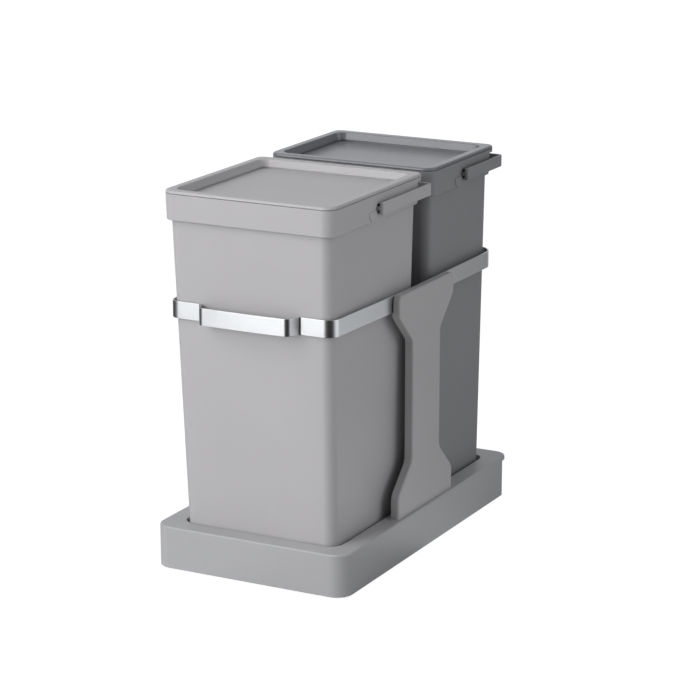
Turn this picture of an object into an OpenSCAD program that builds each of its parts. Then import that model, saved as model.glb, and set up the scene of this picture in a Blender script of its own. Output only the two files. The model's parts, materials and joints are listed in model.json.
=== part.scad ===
// Pull-out waste unit for a narrow base cabinet: two lidded bins stand in a moulded
// tray that rides on two three-part ball slides, held by a steel band on two uprights.
// Length unit: millimetre. +Z is up, the unit pulls out towards -Y, and the origin lies
// on the cabinet floor below the middle of the closed unit.

/* [Tray] */
// Width of the tray over its side skirts
tray_w = 250; // [240:1:262]
// Depth of the tray's top plate, front to back
tray_len = 448; // [436:1:470]
// Height of the tray from the skirt's lower edge to the top plate
tray_h = 50.5; // [49:0.5:60]
// Wall of the tray
tray_wall = 2.5; // [2:0.1:3]
// Running gap under the skirt
tray_gap = 2; // [2:0.1:3]
// Radius of the tray's two front corners
tray_front_r = 20; // [12:1:26]
// Radius of the top plate's two rear corners
tray_rear_r = 18; // [10:1:20]
// Rounding of the tray's upper edge
tray_edge_r = 2; // [1:0.1:2.4]
// Length of plate that reaches behind the side skirts
plate_tail = 21; // [10:1:26]
// Height of the turned-down edge behind the side skirts
tail_edge_h = 5.5; // [4:0.5:8]
// Width of the plate left and right of the wells
well_side_margin = 23.1; // [22.5:0.1:24]
// Width of the plate in front of the front well
well_front_margin = 24.8; // [23:0.1:26]
// Width of the plate behind the rear well
well_rear_margin = 25; // [20:0.5:25]
// Width of the plate between the two wells
well_bridge = 32; // [20:1:34]
// Depth of the wells below the top plate
well_depth = 38.5; // [34:0.5:40]
// Radius of the wells' corners
well_r = 16; // [10:1:20]

/* [Bins] */
// Distance of a bin's collar from the tray's side
bin_inset = 16.6; // [16.4:0.1:18]
// Depth of the front bin over its collar
front_bin_d = 221.6; // [210:0.2:223]
// Setback of the front bin's collar from the tray's front
front_bin_setback = 2.4; // [2:0.1:3]
// Clear distance between the two bins' collars
bin_spacing = 26.6; // [25:0.1:30]
// Distance of the rear bin's collar from the plate's rear edge
rear_bin_inset = 26.3; // [26:0.1:30]
// Height of a bin from its foot to its rim
bin_h = 431.7; // [400:0.1:460]
// Wall of a bin
bin_wall = 2.2; // [1.8:0.1:2.6]
// Height of a bin's collar
collar_h = 30.4; // [29.6:0.1:34]
// Flare of the collar on every side from its lower edge to the rim
collar_flare = 1; // [0.6:0.1:1.2]
// Step from the collar in to the bin's front and side walls
collar_step = 4.9; // [4.6:0.1:5.2]
// Step from the collar in to the bin's rear wall
collar_rear_step = 1.6; // [1:0.1:1.7]
// Radius of the collar's corners
collar_r = 15; // [12:0.5:18]
// Reach of the lid seat behind the collar
seat_reach = 4.6; // [3:0.1:4.8]
// Height of the lid seat behind the collar
seat_h = 4; // [3:0.5:5]
// Radius of the rear corners of the lid seat and of the lid
seat_r = 10.5; // [8:0.5:14]

/* [Lids] */
// Height of a lid's rim above the bin
lid_rim_h = 4; // [3.8:0.1:5]
// Width of a lid's raised rim
lid_rim_w = 10.8; // [10.4:0.1:12.8]
// Rounding of a lid's upper edge
lid_round = 2.8; // [2:0.1:3]
// Depth of the dished middle of a lid
lid_dish = 10.5; // [8:0.5:14]
// Wall of a lid
lid_wall = 2; // [1.6:0.1:2.2]

/* [Bail handles] */
// Height of the handle's flat bar
bail_h = 14; // [12:0.1:14.4]
// Thickness of the handle's flat bar
bail_t = 4; // [3.4:0.1:4.6]
// Gap between the collar and a handle's arm
bail_side_gap = 4; // [3.4:0.1:4.4]
// Gap between the collar and the handle's bar
bail_rear_gap = 9.9; // [9:0.1:10.4]
// Height of the pivot below the bin's rim
pivot_drop = 16.7; // [15.8:0.1:17.2]
// Radius of the handle's pivot pin
pivot_pin_r = 2.5; // [2:0.1:3]
// Radius of the round opening in the collar around the pin
pivot_hole_r = 6.2; // [5.6:0.1:6.4]
// Length of the raised pad on the collar below the pivot
pad_w = 46; // [36:1:56]
// Height of that pad
pad_h = 12.1; // [11:0.1:12.6]
// Height of the pad's face above the collar's lower edge line
pad_raise = 1.2; // [0.9:0.1:1.6]

/* [Band and uprights] */
// Height of the steel band
band_h = 20; // [16:0.5:24]
// Thickness of the steel band
band_t = 1.6; // [1.2:0.1:1.8]
// Height of the band's upper edge above the tray
band_top = 268.2; // [250:0.1:280]
// Distance of the band's front corners from the tray's side
band_front_inset = 19.2; // [18.8:0.1:19.4]
// Distance of the band from the tray's side along the uprights
band_side_inset = 12.6; // [12.2:0.1:13]
// Gap between the front bin and the band in front of it
band_front_gap = 0.9; // [0.7:0.1:1.6]
// Reach of the grip bow in front of the tray
bow_reach = 7.2; // [4:0.2:16]
// Width of the grip bow
bow_w = 116; // [90:1:130]
// Distance of the band's rear run from the plate's rear edge
band_rear_inset = 21.4; // [20:0.1:22.5]
// Thickness of an upright
upright_t = 10; // [9:0.5:11]
// Distance of an upright's outer face from the tray's side
upright_inset = 4.5; // [4:0.1:5]
// Width of an upright at its foot and its head
upright_w = 144; // [130:1:160]
// Width of an upright at its waist
upright_waist_w = 73.6; // [60:0.2:84]
// Distance of the uprights' middle from the tray's front
upright_y = 216.5; // [205:0.5:230]

/* [Slides and floor frame] */
// Length of a slide
slide_len = 400; // [380:5:405]
// Width of a slide across its three parts
slide_w = 12.7; // [12.7:0.1:13.2]
// Height of the slides' middle above the skirt's lower edge
slide_rise = 23.5; // [22:0.5:26]
// Half height of a slide's inner part
inner_half_h = 7.8; // [7:0.1:9]
// Sheet of the slides
slide_t = 1.2; // [1:0.05:1.25]
// Radius of the slides' balls
ball_r = 1.5; // [1.4:0.05:1.6]
// Sheet of the floor frame
frame_t = 1.5; // [1.2:0.1:1.8]
// Distance between the floor screws across the unit
screw_span_x = 160; // [120:1:170]
// Distance between the floor screws along the unit
screw_span_y = 305; // [280:1:310]
// Distance of the rear floor screws from the plate's rear edge
screw_rear_inset = 48; // [46:1:60]
// Radius of the floor screws' holes
floor_hole_r = 2.75; // [2:0.05:3.5]

/* [Hidden] */

overrun = 1;
fit = 0.05;
bite = 0.1;
corner_steps = 8;
edge_steps = 3;
edge_step = 22.5;
round_fn = 48;
ball_fn = 24;

tray_color = "#a6a7a9";
light_bin_color = "#bdbbbc";
dark_bin_color = "#6b6b6d";
upright_color = "#8a8888";
screw_color = "#b9bcc0";
rivet_color = "#9da0a3";
slide_color = "#c4c6c8";

tray_z = tray_gap + tray_h;
y_front = -(tray_len - bow_reach) / 2;
y_rear = y_front + tray_len;
tray_half = tray_w / 2;
skirt_rear = y_rear - plate_tail;
skirt_corner_r = 2.8;

front_bin_y0 = y_front + front_bin_setback;
front_bin_y1 = front_bin_y0 + front_bin_d;
rear_bin_y0 = front_bin_y1 + bin_spacing;
rear_bin_y1 = y_rear - rear_bin_inset;
bin_half = tray_half - bin_inset;

well_half = tray_half - well_side_margin;
bridge_y = (front_bin_y1 + rear_bin_y0) / 2;
wells = [[y_front + well_front_margin, bridge_y - well_bridge / 2],
  [bridge_y + well_bridge / 2, y_rear - well_rear_margin]];
well_floor_z = tray_z - well_depth;
rib_t = 2;
rib_h = 5.5;
rib_pitch = 50;

bin_floor = 3;
side_draft_share = 0.0167;
front_draft_share = 0.0519;
inner_draft_share = 0.0195;
rear_draft_share = 0.003;
body_r_step = 2;
body_r = collar_r - body_r_step;
foot_r = 3;
foot_share = 0.3;
foot_recess = 1.5;
foot_band = 12;
bin_rim_z = well_floor_z + bin_h;
collar_z = bin_rim_z - collar_h;
collar_edge_r = 1.2;
seat_side_inset = 0.3;

lid_inset = 0.2;
lid_foot_r = 0.7;
dish_edge_r = 1.2;
dish_draft = 3;
dish_r_step = 3;
dish_corner_r = collar_r - dish_r_step;
rear_rim_extra = 2.8;
lid_rear_rim_w = lid_rim_w + rear_rim_extra;
lid_top_z = bin_rim_z + lid_rim_h;

bail_edge_r = 1;
bail_corner_r = 7.5;
bail_tip = [[0, 0.7], [0.5, 0.92], [1.3, 1]];
bail_x = bin_half + bail_side_gap;
bail_raise = 0.3;
arm_front = 3.6;
bush_wall = 1.3;
bush_len = 2;
bush_root = 1;
bush_x = bin_half - collar_step;
pin_gap = 0.3;
pad_lift = 0.4;

band_top_z = tray_z + band_top;
band_drop = collar_z - band_top_z;
band_front_y = front_bin_y0 + collar_step + front_draft_share * band_drop - band_front_gap - band_t;
band_front_half = tray_half - band_front_inset;
band_half = tray_half - band_side_inset;
band_front_r = 13;
band_rear_r = 28;
band_flare_r = 60;
band_flare_at = 170;
bow_r = 5;
bow_jog = 5;

upright_x1 = tray_half - upright_inset;
upright_x0 = upright_x1 - upright_t;
upright_mid_x = (upright_x0 + upright_x1) / 2;
upright_mid_y = y_front + upright_y;
upright_edge = 2.4;
foot_rise_share = 0.103;
waist_low_share = 0.229;
waist_high_share = 0.768;
head_low_share = 0.9;
flare_r = 16;
head_r = 13;

screw_r = 2;
screw_head_r = 3.6;
screw_head_h = 2;
upright_screw_len = 12;
upright_screw_share = 0.38;
band_screw_len = 6;
band_screw_share = 0.26;

slide_z = tray_gap + slide_rise;
slide_front_inset = 12;
slide_y0 = y_front + slide_front_inset;
slide_back = well_half + tray_wall;
race_gap = 0.1;
web_gap = 0.4;
inner_race = inner_half_h + race_gap + ball_r;
middle_half_h = inner_race + ball_r + race_gap + slide_t;
outer_race = middle_half_h + race_gap + ball_r;
outer_half_h = outer_race + ball_r + race_gap + slide_t;
slide_lip = 1;
inner_x1_share = 0.65;
middle_x0_share = 0.14;
ball_x_share = 0.46;
cage_t = 0.7;
cage_w = 5;
cage_len_share = 0.48;
cage_start_share = 0.26;
balls_per_race = 6;
rivet_r = 2;
rivet_head_r = 3.4;
rivet_head_h = 1;
rivet_shares = [[0.138, 0.79], [0.7]];

frame_x = slide_back + slide_w;
frame_rear_inset = 6;
frame_y1 = skirt_rear - frame_rear_inset;
frame_foot_w = 26;
frame_cross_w = 40;
screw_rear = y_rear - screw_rear_inset;
screw_front = screw_rear - screw_span_y;

// Geometry helpers

function unit(v) = v / norm(v);
function turn(a) = a - 360 * round(a / 360);

// Points of the arc that rounds corner b between a and c
function corner(a, b, c, r, steps = corner_steps) =
  let (u = unit(a - b), v = unit(c - b), half = acos(u * v) / 2)
  let (p = b + u * r / tan(half), m = b + unit(u + v) * r / sin(half))
  let (q = b + v * r / tan(half))
  let (a0 = atan2(p.y - m.y, p.x - m.x), a1 = atan2(q.y - m.y, q.x - m.x))
  [for (i = [0 : steps]) m + r * dir(a0 + turn(a1 - a0) * i / steps)];

function dir(a) = [cos(a), sin(a)];

// Closed outline with each corner rounded by its own radius
function rounded(pts, radii, steps = corner_steps) =
  let (n = len(pts))
  [for (i = [0 : n - 1]) each
    corner(pts[(i + n - 1) % n], pts[i], pts[(i + 1) % n], radii[i], steps)];

// Closed counter-clockwise outline moved inwards by t
function inset(pts, t) =
  let (n = len(pts))
  [for (i = [0 : n - 1])
    let (u = unit(pts[i] - pts[(i + n - 1) % n]), v = unit(pts[(i + 1) % n] - pts[i]))
    let (w = unit([-u.y - v.y, u.x + v.x]))
    pts[i] + w * t / (w * [-u.y, u.x])];

// Rectangle symmetric about X = 0 with rounded front and rear corners
function plan(half, y0, y1, front_r, rear_r) =
  rounded([[-half, y0], [half, y0], [half, y1], [-half, y1]],
    [front_r, front_r, rear_r, rear_r]);

function at_z(pts, z) = [for (p = pts) [p.x, p.y, z]];

// Solid through a stack of outlines with equal numbers of points
module loft(rings) {
  n = len(rings[0]);
  m = len(rings);
  polyhedron(
    points = [for (ring = rings) each ring],
    faces = concat(
      [[for (i = [0 : n - 1]) i]],
      [for (k = [0 : m - 2], i = [0 : n - 1]) each
        let (a = k * n + i, b = k * n + (i + 1) % n)
        [[a, a + n, b + n], [a, b + n, b]]],
      [[for (i = [n - 1 : -1 : 0]) (m - 1) * n + i]]));
}

// Slab with a rounded upper edge, from z0 to z1
module slab(pts, z0, z1, edge) {
  loft(concat([at_z(pts, z0)],
    [for (a = [0 : edge_step : 90])
      at_z(inset(pts, edge * (1 - cos(a))), z1 - edge + edge * sin(a))]));
}

// Slab with its lower edge rounded by foot and its upper edge by edge
module soft_slab(pts, z0, z1, foot, edge) {
  loft(concat(
    [for (a = [90 : -2 * edge_step : 0])
      at_z(inset(pts, foot * (1 - cos(a))), z0 + foot - foot * sin(a))],
    [for (a = [0 : edge_step : 90])
      at_z(inset(pts, edge * (1 - cos(a))), z1 - edge + edge * sin(a))]));
}

module both_sides() {
  children();
  mirror([1, 0, 0]) children();
}

// Rod along X from x0 to x1
module rod_x(x0, x1, r) {
  translate([x0, 0, 0]) rotate([0, 90, 0]) cylinder(h = x1 - x0, r = r, $fn = round_fn);
}

// Tray

module skirt() {
  difference() {
    slab(plan(tray_half, y_front, skirt_rear, tray_front_r, skirt_corner_r),
      tray_gap, tray_z, tray_edge_r);
    loft([for (z = [tray_gap - overrun, tray_z - tray_wall])
      at_z(plan(tray_half - tray_wall, y_front + tray_wall, y_rear,
        tray_front_r - tray_wall, skirt_corner_r), z)]);
  }
}

module top_plate() {
  outline = plan(tray_half, y_front, y_rear, tray_front_r, tray_rear_r);
  slab(outline, tray_z - tray_wall, tray_z, tray_edge_r);
  intersection() {
    difference() {
      slab(outline, tray_z - tail_edge_h, tray_z, tray_edge_r);
      loft([for (z = [tray_z - tail_edge_h - overrun, tray_z - tray_wall])
        at_z(inset(outline, tray_wall), z)]);
    }
    translate([-tray_half, skirt_rear - tray_wall, 0])
      cube([tray_w, plate_tail + tray_wall, tray_z]);
  }
}

// Well's outline in plan, grown outwards by t
function well_plan(well, t) =
  plan(well_half + t, well[0] - t, well[1] + t, well_r + t, well_r + t);

module well_shell(well) {
  loft([for (z = [well_floor_z - tray_wall, tray_z - tray_wall / 2])
    at_z(well_plan(well, tray_wall), z)]);
}

module well_ribs(well) {
  rib_z = well_floor_z - tray_wall - rib_h;
  for (y = [well[0] + rib_pitch : rib_pitch : well[1] - rib_pitch / 2])
    translate([-well_half, y, rib_z]) cube([2 * well_half, rib_t, rib_h + bite]);
  for (x = [-rib_pitch, 0, rib_pitch])
    translate([x, well[0], rib_z]) cube([rib_t, well[1] - well[0], rib_h + bite]);
}

module base_tray() {
  color(tray_color)
    difference() {
      union() {
        skirt();
        top_plate();
        for (well = wells) {
          well_shell(well);
          well_ribs(well);
        }
      }
      for (well = wells)
        loft([for (z = [well_floor_z, tray_z + overrun]) at_z(well_plan(well, 0), z)]);
      upright_screw_places()
        translate([0, 0, -overrun])
          cylinder(h = tray_wall + 2 * overrun, r = screw_r + fit, $fn = round_fn);
      both_sides()
        rivet_places() rod_x(well_half - overrun, slide_back + overrun, rivet_r + fit);
    }
}

// Uprights and band

// Half width and height of the upright's side edge, from its foot to its head
upright_edge_line = let (
    foot = upright_w / 2, waist = upright_waist_w / 2,
    a = [foot, 0], b = [foot, foot_rise_share * band_top],
    c = [waist, waist_low_share * band_top], d = [waist, waist_high_share * band_top],
    e = [foot, head_low_share * band_top], f = [foot, band_top], g = [0, band_top])
  concat([a], corner(a, b, c, flare_r), corner(b, c, d, flare_r), corner(c, d, e, flare_r),
    corner(d, e, f, flare_r), corner(e, f, g, head_r));

// Level section of the upright at a point of that line
function upright_ring(p) =
  let (over = max(0, p.y - band_top + upright_edge))
  let (x1 = upright_x1 - upright_edge + sqrt(upright_edge ^ 2 - over ^ 2), r = upright_edge)
  let (y0 = upright_mid_y - p.x, y1 = upright_mid_y + p.x)
  at_z(concat([[upright_x0, y0]],
    corner([upright_x0, y0], [x1, y0], [x1, y1], r, edge_steps),
    corner([x1, y0], [x1, y1], [upright_x0, y1], r, edge_steps),
    [[upright_x0, y1]]), tray_z + p.y);

module upright_screw_places() {
  for (side = [-1, 1], s = [-1, 1])
    translate([side * upright_mid_x, upright_mid_y + s * upright_screw_share * upright_w,
        tray_z - tray_wall])
      children();
}

module band_screw_places() {
  for (s = [-1, 1])
    translate([0, upright_mid_y + s * band_screw_share * upright_w, band_top_z - band_h / 2])
      children();
}

module upright() {
  color(upright_color)
    difference() {
      loft([for (p = upright_edge_line) upright_ring(p)]);
      translate([upright_x0 - overrun, upright_mid_y - upright_w, band_top_z - band_h])
        cube([band_half - upright_x0 + overrun, 2 * upright_w, band_h + overrun]);
      upright_screw_places()
        cylinder(h = tray_wall + upright_screw_len, r = screw_r + fit, $fn = round_fn);
      band_screw_places()
        rod_x(band_half - overrun, band_half + band_screw_len, screw_r + fit);
    }
}

module upright_screws() {
  color(screw_color)
    upright_screw_places() {
      cylinder(h = tray_wall + upright_screw_len - fit, r = screw_r, $fn = round_fn);
      translate([0, 0, -screw_head_h])
        cylinder(h = screw_head_h, r = screw_head_r, $fn = round_fn);
    }
}

band_outline = let (
    right = [[bow_w / 2, y_front - bow_reach], [bow_w / 2 + bow_jog, band_front_y],
      [band_front_half, band_front_y], [band_half, y_front + band_flare_at],
      [band_half, y_rear - band_rear_inset]])
  concat([for (i = [len(right) - 1 : -1 : 0]) [-right[i].x, right[i].y]], right);
band_radii = let (right = [bow_r, bow_r, band_front_r, band_flare_r, band_rear_r])
  concat([for (i = [len(right) - 1 : -1 : 0]) right[i]], right);

module retaining_band() {
  outer = rounded(band_outline, band_radii);
  color("#cfd0d2")
    difference() {
      translate([0, 0, band_top_z - band_h])
        linear_extrude(height = band_h)
          difference() {
            polygon(outer);
            polygon(inset(outer, band_t));
          }
      both_sides()
        band_screw_places()
          rod_x(band_half - band_t - overrun, band_half + overrun, screw_r + fit);
    }
}

module band_screws() {
  color(screw_color)
    both_sides()
      band_screw_places() {
        rod_x(band_half - band_t, band_half + band_screw_len - fit, screw_r);
        rod_x(band_half - band_t - screw_head_h, band_half - band_t, screw_head_r);
      }
}

// Bins

// Outline of a bin's wall at height z, moved inwards by t
function bin_plan(y0, y1, drafts, z, t) =
  let (drop = collar_z - z)
  plan(bin_half - collar_step - t - side_draft_share * drop,
    y0 + collar_step + t + drafts[0] * drop,
    y1 - collar_rear_step - t - drafts[1] * drop,
    body_r - t, body_r - t);

function bin_ring(y0, y1, drafts, z, t) = at_z(bin_plan(y0, y1, drafts, z, t), z);

module bin(y0, y1, drafts) {
  foot_z = well_floor_z;
  collar = plan(bin_half, y0, y1, collar_r, collar_r);
  foot = bin_plan(y0, y1, drafts, foot_z, foot_band);
  difference() {
    union() {
      loft([bin_ring(y0, y1, drafts, foot_z, foot_r),
        bin_ring(y0, y1, drafts, foot_z + foot_r * foot_share, foot_r * foot_share),
        bin_ring(y0, y1, drafts, foot_z + foot_r, 0),
        bin_ring(y0, y1, drafts, bin_rim_z - bin_wall, 0)]);
      difference() {
        loft([at_z(inset(collar, collar_edge_r), collar_z),
          at_z(collar, collar_z + collar_edge_r), at_z(inset(collar, -collar_flare), bin_rim_z)]);
        loft([at_z(inset(collar, bin_wall), collar_z - overrun),
          at_z(inset(collar, bin_wall - collar_flare), bin_rim_z - bin_wall)]);
      }
      loft([for (z = [bin_rim_z - seat_h, bin_rim_z])
        at_z(plan(bin_half + collar_flare - seat_side_inset, y1 - 2 * collar_r,
          y1 + seat_reach, bin_wall, seat_r), z)]);
      at_pivot(y0, y1)
        both_sides()
          rod_x(bush_x - bush_root, bush_x + bush_len, pivot_pin_r + fit + bush_wall);
      both_sides()
        pad((y0 + y1) / 2);
    }
    loft([bin_ring(y0, y1, drafts, foot_z + bin_floor, bin_wall + foot_r),
      bin_ring(y0, y1, drafts, foot_z + bin_floor + foot_r, bin_wall),
      bin_ring(y0, y1, drafts, bin_rim_z + overrun, bin_wall)]);
    loft([for (z = [foot_z - overrun, foot_z + foot_recess]) at_z(foot, z)]);
    at_pivot(y0, y1)
      both_sides() {
        rod_x(bush_x, bush_x + bush_len + overrun, pivot_pin_r + fit);
        rod_x(bush_x + bush_len + bite, bin_half + pad_raise + overrun, pivot_hole_r);
      }
  }
}

module at_pivot(y0, y1) {
  translate([0, (y0 + y1) / 2, bin_rim_z - pivot_drop]) children();
}

// Raised pad on the right side of the collar
module pad(mid_y) {
  low = collar_z + pad_lift;
  r = pad_h / 2 - bite;
  translate([bin_half - bin_wall / 2, mid_y, 0]) rotate([90, 0, 90])
    linear_extrude(height = bin_wall / 2 + pad_raise)
      polygon(rounded([[-pad_w / 2, low], [pad_w / 2, low], [pad_w / 2, low + pad_h],
        [-pad_w / 2, low + pad_h]], [r, r, r, r]));
}

module lid(y0, y1) {
  half = bin_half + collar_flare - lid_inset;
  front = y0 - collar_flare + lid_inset;
  rear = y1 + seat_reach;
  dish = plan(half - lid_rim_w, front + lid_rim_w, rear - lid_rear_rim_w,
    dish_corner_r, dish_corner_r);
  floor_z = lid_top_z - lid_dish;
  difference() {
    union() {
      soft_slab(plan(half, front, rear, collar_r, seat_r), bin_rim_z, lid_top_z,
        lid_foot_r, lid_round);
      loft([at_z(inset(dish, dish_draft - lid_wall), floor_z - lid_wall),
        at_z(inset(dish, -lid_wall), lid_top_z - lid_wall)]);
    }
    loft([at_z(inset(dish, dish_draft), floor_z), at_z(dish, lid_top_z - dish_edge_r),
      at_z(inset(dish, -dish_edge_r), lid_top_z),
      at_z(inset(dish, -dish_edge_r), lid_top_z + overrun)]);
  }
}

// Middle line of the bail with its direction, from the right arm's end round to the left
function bail_line(rear) =
  let (half = bail_x + bail_t / 2, r = bail_corner_r - bail_t / 2, y = rear - r)
  concat(
    [for (tip = bail_tip) [half, tip[0] - arm_front, 90, tip[1]]],
    [for (i = [0 : corner_steps]) let (a = 90 * i / corner_steps)
      [half - r + r * cos(a), y + r * sin(a), 90 + a, 1]],
    [for (i = [0 : corner_steps]) let (a = 90 + 90 * i / corner_steps)
      [r - half + r * cos(a), y + r * sin(a), 90 + a, 1]],
    [for (i = [len(bail_tip) - 1 : -1 : 0])
      [-half, bail_tip[i][0] - arm_front, 270, bail_tip[i][1]]]);

// Section of the bail's bar at a point of that line
function bail_ring(p) =
  let (a = p[3] * bail_t / 2, b = bail_h / 2, e = dir(p[2] + 90))
  [for (q = rounded([[-a, -b], [a, -b], [a, b], [-a, b]],
      [bail_edge_r, bail_edge_r, bail_edge_r, bail_edge_r], edge_steps))
    [p[0] + e.x * q.x, p[1] + e.y * q.x, bail_raise + q.y]];

// Bail handle folded back behind its bin
module bail(y0, y1) {
  rear = (y1 - y0) / 2 + bail_rear_gap;
  at_pivot(y0, y1) {
    loft([for (p = bail_line(rear + bail_t / 2)) bail_ring(p)]);
    both_sides()
      rod_x(bush_x + pin_gap, bail_x + bail_t / 2, pivot_pin_r);
  }
}

// Slides

// Channel section in the X-Z plane with its web at web_x and its lips turned in
module channel(web_x, end_x, half_h, lip) {
  t = slide_t;
  w = web_x + sign(end_x - web_x) * t;
  e = end_x - sign(end_x - web_x) * t;
  edge = lip == 0 ? [[end_x, half_h], [end_x, half_h - t]] :
    [[end_x, half_h], [end_x, half_h - t - lip], [e, half_h - t - lip], [e, half_h - t]];
  upper = concat([[web_x, half_h]], edge, [[w, half_h - t]]);
  polygon(concat(upper, [for (i = [len(upper) - 1 : -1 : 0]) [upper[i].x, -upper[i].y]]));
}

// Extrusion of a section in the X-Z plane along the slide's length
module along_slide() {
  translate([0, slide_y0 + slide_len, slide_z]) rotate([90, 0, 0])
    linear_extrude(height = slide_len)
      children();
}

module rivet_places() {
  for (k = [0, 1], share = rivet_shares[k])
    translate([0, wells[k][0] + share * (wells[k][1] - wells[k][0]), slide_z]) children();
}

module slide_outer() {
  color(slide_color)
    difference() {
      along_slide() channel(frame_x, slide_back + slide_t, outer_half_h, slide_lip);
      rivet_places() rod_x(frame_x - slide_t - overrun, frame_x + overrun, rivet_r + fit);
    }
}

module slide_middle() {
  color("#b4b7ba")
    along_slide()
      channel(frame_x - slide_t - web_gap, slide_back + middle_x0_share * slide_w,
        middle_half_h, 0);
}

module slide_inner() {
  color(slide_color)
    difference() {
      along_slide()
        channel(slide_back, slide_back + inner_x1_share * slide_w, inner_half_h, 0);
      rivet_places()
        rod_x(slide_back - overrun, slide_back + slide_t + overrun, rivet_r + fit);
    }
}

cage_y0 = slide_y0 + cage_start_share * slide_len;
cage_len = cage_len_share * slide_len;
ball_x = slide_back + ball_x_share * slide_w;

module at_balls(race) {
  for (i = [0 : balls_per_race - 1], s = [-1, 1])
    translate([ball_x, cage_y0 + cage_len * (2 * i + 1) / (2 * balls_per_race),
        slide_z + s * race])
      children();
}

module balls(race) {
  color("#d8dadc") both_sides() at_balls(race) sphere(r = ball_r, $fn = ball_fn);
}

module cages(race) {
  color("#8f9498")
    both_sides()
      difference() {
        for (s = [-1, 1])
          translate([ball_x - cage_w / 2, cage_y0, slide_z + s * race - cage_t / 2])
            cube([cage_w, cage_len, cage_t]);
        at_balls(race)
          cylinder(h = 2 * ball_r, r = ball_r + fit, center = true, $fn = round_fn);
      }
}

module slide_rivets() {
  color(rivet_color)
    both_sides()
      rivet_places() {
        rod_x(well_half - rivet_head_h, well_half, rivet_head_r);
        rod_x(well_half, slide_back + slide_t, rivet_r);
        rod_x(slide_back + slide_t, slide_back + slide_t + rivet_head_h, rivet_head_r);
      }
}

// Floor frame

module frame_rivets() {
  color(rivet_color)
    both_sides()
      rivet_places() {
        rod_x(frame_x - slide_t, frame_x + frame_t, rivet_r);
        rod_x(frame_x + frame_t, frame_x + frame_t + rivet_head_h, rivet_head_r);
      }
}

module floor_frame() {
  frame_len = frame_y1 - slide_y0;
  color("#7d8083")
    difference() {
      union() {
        both_sides() {
          translate([frame_x + frame_t - frame_foot_w, slide_y0, 0])
            cube([frame_foot_w, frame_len, frame_t]);
          translate([frame_x, slide_y0, 0])
            cube([frame_t, frame_len, slide_z + outer_half_h]);
        }
        for (y = [screw_front, screw_rear])
          translate([-frame_x, y - frame_cross_w / 2, 0])
            cube([2 * frame_x, frame_cross_w, frame_t]);
      }
      both_sides()
        rivet_places() rod_x(frame_x - overrun, frame_x + frame_t + overrun, rivet_r + fit);
      for (x = [-1, 1], y = [screw_front, screw_rear])
        translate([x * screw_span_x / 2, y, -overrun])
          cylinder(h = frame_t + 2 * overrun, r = floor_hole_r, $fn = round_fn);
    }
}

module front_bin() {
  color(light_bin_color)
    bin(front_bin_y0, front_bin_y1, [front_draft_share, inner_draft_share]);
}

module front_lid() {
  color(light_bin_color) lid(front_bin_y0, front_bin_y1);
}

module front_handle() {
  color(light_bin_color) bail(front_bin_y0, front_bin_y1);
}

module rear_bin() {
  color(dark_bin_color)
    bin(rear_bin_y0, rear_bin_y1, [inner_draft_share, rear_draft_share]);
}

module rear_lid() {
  color(dark_bin_color) lid(rear_bin_y0, rear_bin_y1);
}

module rear_handle() {
  color(dark_bin_color) bail(rear_bin_y0, rear_bin_y1);
}

floor_frame();
frame_rivets();
mirror([1, 0, 0]) slide_outer();  // slide_outer_left
slide_outer();  // slide_outer_right
mirror([1, 0, 0]) slide_middle();  // slide_middle_left
slide_middle();  // slide_middle_right
mirror([1, 0, 0]) slide_inner();  // slide_inner_left
slide_inner();  // slide_inner_right
cages(outer_race);  // ball_cages_outer
cages(inner_race);  // ball_cages_inner
balls(outer_race);  // balls_outer
balls(inner_race);  // balls_inner
slide_rivets();
base_tray();
mirror([1, 0, 0]) upright();  // upright_left
upright();  // upright_right
upright_screws();
retaining_band();
band_screws();
front_bin();
front_lid();
front_handle();
rear_bin();
rear_lid();
rear_handle();
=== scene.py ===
import json
import math

import bmesh
import bpy
from bpy.props import FloatProperty, FloatVectorProperty, IntProperty, PointerProperty
from mathutils import Euler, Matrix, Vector


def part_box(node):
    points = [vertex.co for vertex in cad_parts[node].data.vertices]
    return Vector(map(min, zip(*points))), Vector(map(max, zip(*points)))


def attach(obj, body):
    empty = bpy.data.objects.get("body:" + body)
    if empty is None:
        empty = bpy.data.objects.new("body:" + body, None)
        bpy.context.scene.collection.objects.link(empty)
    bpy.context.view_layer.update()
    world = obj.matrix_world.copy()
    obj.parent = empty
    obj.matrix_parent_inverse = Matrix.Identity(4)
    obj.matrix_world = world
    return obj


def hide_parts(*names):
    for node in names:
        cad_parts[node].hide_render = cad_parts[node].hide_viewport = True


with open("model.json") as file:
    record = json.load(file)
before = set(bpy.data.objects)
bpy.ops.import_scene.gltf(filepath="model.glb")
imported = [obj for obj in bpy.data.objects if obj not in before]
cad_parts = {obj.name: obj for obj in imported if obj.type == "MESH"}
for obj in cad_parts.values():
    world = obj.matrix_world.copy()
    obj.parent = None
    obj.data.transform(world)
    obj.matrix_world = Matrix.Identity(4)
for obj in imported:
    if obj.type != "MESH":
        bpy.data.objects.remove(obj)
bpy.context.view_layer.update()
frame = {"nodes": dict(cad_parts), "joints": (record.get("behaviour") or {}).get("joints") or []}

bl_info = {
    "name": "Pull-out waste unit",
    "version": (1, 0, 0),
    "blender": (4, 5, 0),
    "location": "View3D > Sidebar > Waste unit",
    "description": "Dresses a pull-out unit with two lidded waste bins",
    "category": "Object",
}

MM = 0.001
TRAY_LOW, TRAY_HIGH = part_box("base_tray")
BAND_LOW, BAND_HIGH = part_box("retaining_band")
POST_LOW, POST_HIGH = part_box("upright_right")

# Run-in of the walls for each unit of height: front and rear wall of each bin, then both sides.
FRONT_DRAFTS = (0.0519, 0.0195)
REAR_DRAFTS = (0.0195, 0.003)
SIDE_DRAFT = 0.0167
# The lid's rim stands this much inside the collar's.
LID_INSET = 0.2 * MM
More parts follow.
